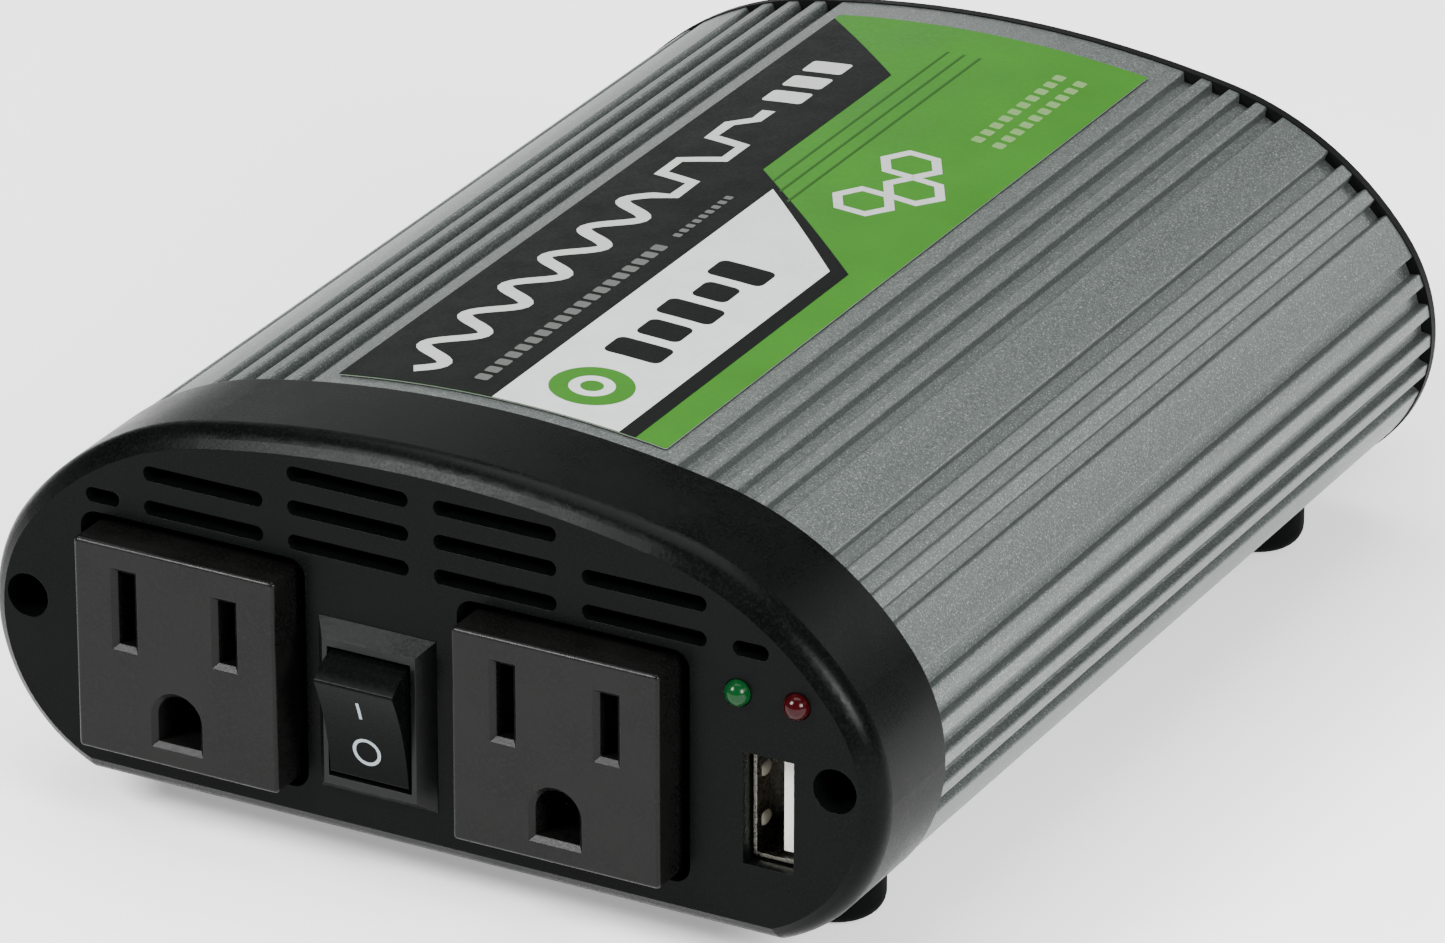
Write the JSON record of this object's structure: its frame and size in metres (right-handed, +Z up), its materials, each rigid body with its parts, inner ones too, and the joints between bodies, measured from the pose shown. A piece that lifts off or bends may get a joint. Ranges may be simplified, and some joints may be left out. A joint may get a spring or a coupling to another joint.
{
  "type": "power inverter",
  "caption": "Compact DC-to-AC power inverter: ribbed aluminium case, front cap with two grounded outlets, rocker switch and USB socket, fan and DC posts behind.",
  "frame": {"origin": "bottom centre of the whole: on the surface that the feet stand on, midway between the proud end of the rocker and the ends of the post knobs, and midway across", "axes": "+X to the right as seen from the front, +Y from the outlet face to the fan face, +Z up"},
  "size_m": [0.111, 0.1661, 0.0531],
  "materials": {
    "anodised_aluminium": "satin, fine grain",
    "cap_plastic": "fine spark-eroded texture",
    "black_plate": "satin black powder coat",
    "printed_label": "satin printed film",
    "foot_rubber": "matt",
    "black_screw": "black oxide",
    "zinc_screw": "zinc plated",
    "outlet_plastic": "fine texture",
    "contact_brass": "plain",
    "switch_plastic": "satin",
    "nickel": "bright nickel",
    "tongue_plastic": "moulded, white",
    "gold_contact": "gold flash",
    "green_lens": "clear green",
    "red_lens": "clear red",
    "tinned_wire": "tinned",
    "circuit_board": "green solder mask",
    "insulator_sheet": "fish paper",
    "wire_insulation": "soft vinyl",
    "fan_plastic": "satin",
    "steel": "ground",
    "bronze": "sintered bronze",
    "stator_steel": "varnished laminations",
    "post_black": "moulded",
    "post_red": "moulded",
    "copper": "plain copper",
    "ferrite": "matt",
    "bobbin_plastic": "moulded",
    "winding_tape": "yellow tape over copper",
    "capacitor_sleeve": "shrink sleeve",
    "transistor_plastic": "moulded epoxy",
    "plain_aluminium": "mill finish",
    "fuse_plastic": "clear amber",
    "chip_plastic": "moulded epoxy"
  },
  "bodies": {
    "case": {"housing": "anodised_aluminium", "front_cap": "cap_plastic", "rear_plate": "black_plate", "top_label": "printed_label", "rubber_feet": "foot_rubber", "foot_screws": "zinc_screw", "front_screws": "black_screw", "rear_screws": "black_screw", "left_outlet_body": "outlet_plastic", "right_outlet_body": "outlet_plastic", "outlet_covers": "outlet_plastic", "neutral_contacts": "contact_brass", "line_contacts": "contact_brass", "ground_contacts": "contact_brass", "outlet_leads": "wire_insulation", "switch_body": "switch_plastic", "switch_terminals": "contact_brass", "usb_shell": "nickel", "usb_tongue": "tongue_plastic", "usb_contacts": "gold_contact", "green_led": "green_lens", "red_led": "red_lens", "led_leads": "tinned_wire", "front_board": "circuit_board", "fan_frame": "fan_plastic", "fan_bearing": "bronze", "fan_stator": "stator_steel", "fan_screws": "zinc_screw", "post_bases": "post_black", "post_inner_washers": "post_black", "post_studs": "nickel", "post_nuts": "zinc_screw", "bus_strips": "copper", "main_board": "circuit_board", "board_insulator": "insulator_sheet", "transformer_core": "ferrite", "transformer_bobbin": "bobbin_plastic", "transformer_winding": "winding_tape", "input_capacitors": "capacitor_sleeve", "output_capacitor": "capacitor_sleeve", "power_transistors": "transistor_plastic", "heat_bar": "plain_aluminium", "transistor_clip": "steel", "clip_screws": "zinc_screw", "fuse_clips": "contact_brass", "blade_fuses": "fuse_plastic", "choke_core": "ferrite", "choke_winding": "copper", "control_board": "circuit_board", "controller_chips": "chip_plastic", "buzzer": "chip_plastic"},
    "rocker": {"switch_rocker": "switch_plastic", "switch_plunger": "contact_brass"},
    "contact_lever": {"switch_contact_lever": "contact_brass"},
    "fan_rotor": {"fan_impeller": "fan_plastic", "fan_shaft": "steel"},
    "red_washer": {"red_post_washer": "nickel"},
    "red_knob": {"red_post_knob": "post_red"},
    "black_washer": {"black_post_washer": "nickel"},
    "black_knob": {"black_post_knob": "post_black"}
  },
  "joints": [
    {"name": "switch_rock", "type": "hinge", "parent": "case", "child": "rocker", "pos_m": [-0.0056, -0.07768, 0.0214], "axis": [-1, 0, 0], "range_deg": [0, 30]},
    {"name": "contact_tip", "type": "hinge", "parent": "case", "child": "contact_lever", "pos_m": [-0.0056, -0.06868, 0.0214], "axis": [-1, 0, 0], "range_deg": [-16, 0]},
    {"name": "fan_spin", "type": "hinge", "parent": "case", "child": "fan_rotor", "pos_m": [0, 0.05232, 0.0281], "axis": [0, 1, 0], "continuous": true},
    {"name": "red_washer_slide", "type": "slide", "parent": "case", "child": "red_washer", "axis": [0, 1, 0], "range_m": [0, 0.004]},
    {"name": "red_knob_turn", "type": "hinge", "parent": "red_washer", "child": "red_knob", "pos_m": [0.034, 0.07232, 0.0215], "axis": [0, 1, 0], "range_deg": [0, 1430]},
    {"name": "black_washer_slide", "type": "slide", "parent": "case", "child": "black_washer", "axis": [0, 1, 0], "range_m": [0, 0.004]},
    {"name": "black_knob_turn", "type": "hinge", "parent": "black_washer", "child": "black_knob", "pos_m": [-0.034, 0.07232, 0.0215], "axis": [0, 1, 0], "range_deg": [0, 1430]}
  ],
  "couplings": [
    {"joint": "contact_tip", "follows": "switch_rock", "ratio": -0.53333},
    {"joint": "red_washer_slide", "follows": "red_knob_turn", "m_per_rad": 0.00015915},
    {"joint": "black_washer_slide", "follows": "black_knob_turn", "m_per_rad": 0.00015915}
  ]
}
